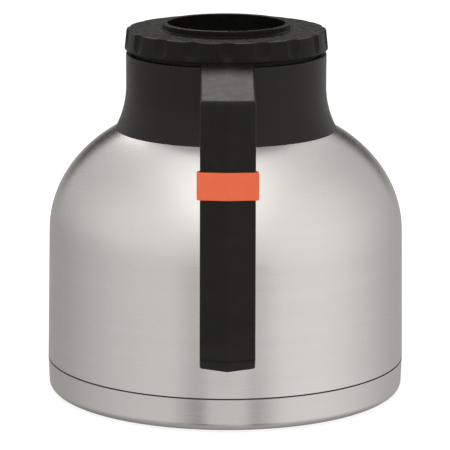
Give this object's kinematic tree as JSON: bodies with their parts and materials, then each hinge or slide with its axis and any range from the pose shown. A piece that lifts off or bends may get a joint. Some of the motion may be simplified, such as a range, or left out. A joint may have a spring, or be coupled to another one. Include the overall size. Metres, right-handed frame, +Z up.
{
  "type": "thermal coffee carafe",
  "caption": "Wide steel vacuum carafe with a black collar, screw-in brew-through lid, drop handle and a coloured sliding band.",
  "frame": {"origin": "centre of the foot, on the surface that the carafe stands on", "axes": "+Z up along the bottle's axis, -Y towards the handle, +Y towards the pouring spout, +X to the right seen from the handle side"},
  "size_m": [0.1714, 0.2128, 0.178],
  "materials": {
    "brushed_shell": "vertically brushed satin",
    "brushed_base": "circumferentially brushed satin",
    "satin_steel": "satin, as pressed",
    "plated_steel": "zinc plated",
    "foil": "bright foil",
    "black_rubber": "matt",
    "collar_plastic": "fine moulded texture",
    "handle_plastic": "fine moulded texture",
    "lid_plastic": "fine moulded texture",
    "inner_plastic": "plain moulded",
    "orange_plastic": "smooth satin",
    "silicone": "matt translucent grey",
    "natural_plastic": "plain moulded"
  },
  "bodies": {
    "carafe": {"outer_shell": "brushed_shell", "inner_flask": "satin_steel", "reflector_foil": "foil", "vessel_bottom": "satin_steel", "evacuation_seal": "plated_steel", "getter_capsule": "plated_steel", "base_cap": "brushed_base", "base_pad": "black_rubber", "collar": "collar_plastic", "skirt_gasket": "black_rubber", "neck_insert": "inner_plastic", "neck_gasket": "silicone", "handle_cover": "handle_plastic", "handle_frame": "handle_plastic", "handle_bracket": "plated_steel", "bracket_screws": "plated_steel", "cover_screws": "plated_steel"},
    "colour_band": {"colour_band": "orange_plastic"},
    "lid_seal": {"lid_gasket": "black_rubber"},
    "lid": {"lid_cap": "lid_plastic", "brew_funnel": "inner_plastic", "stopper_base": "inner_plastic", "stopper_gasket": "silicone", "lid_screws": "plated_steel", "valve_seat": "silicone", "valve_cage": "inner_plastic"},
    "valve_ball": {"valve_ball": "natural_plastic"}
  },
  "joints": [
    {"name": "lid_rise", "type": "slide", "parent": "carafe", "child": "lid_seal", "axis": [0, 0, 1], "range_m": [0, 0.048]},
    {"name": "lid_turn", "type": "hinge", "parent": "lid_seal", "child": "lid", "pos_m": [0, 0, 0.16], "axis": [0, 0, 1], "range_deg": [0, 720]},
    {"name": "ball_float", "type": "slide", "parent": "lid", "child": "valve_ball", "axis": [0, 0, 1], "range_m": [0, 0.0073]},
    {"name": "band_slide", "type": "slide", "parent": "carafe", "child": "colour_band", "axis": [0, 0.1392, 0.9903], "range_m": [-0.06, 0.002]}
  ],
  "couplings": [
    {"joint": "lid_rise", "follows": "lid_turn", "m_per_rad": 0.0038197}
  ]
}
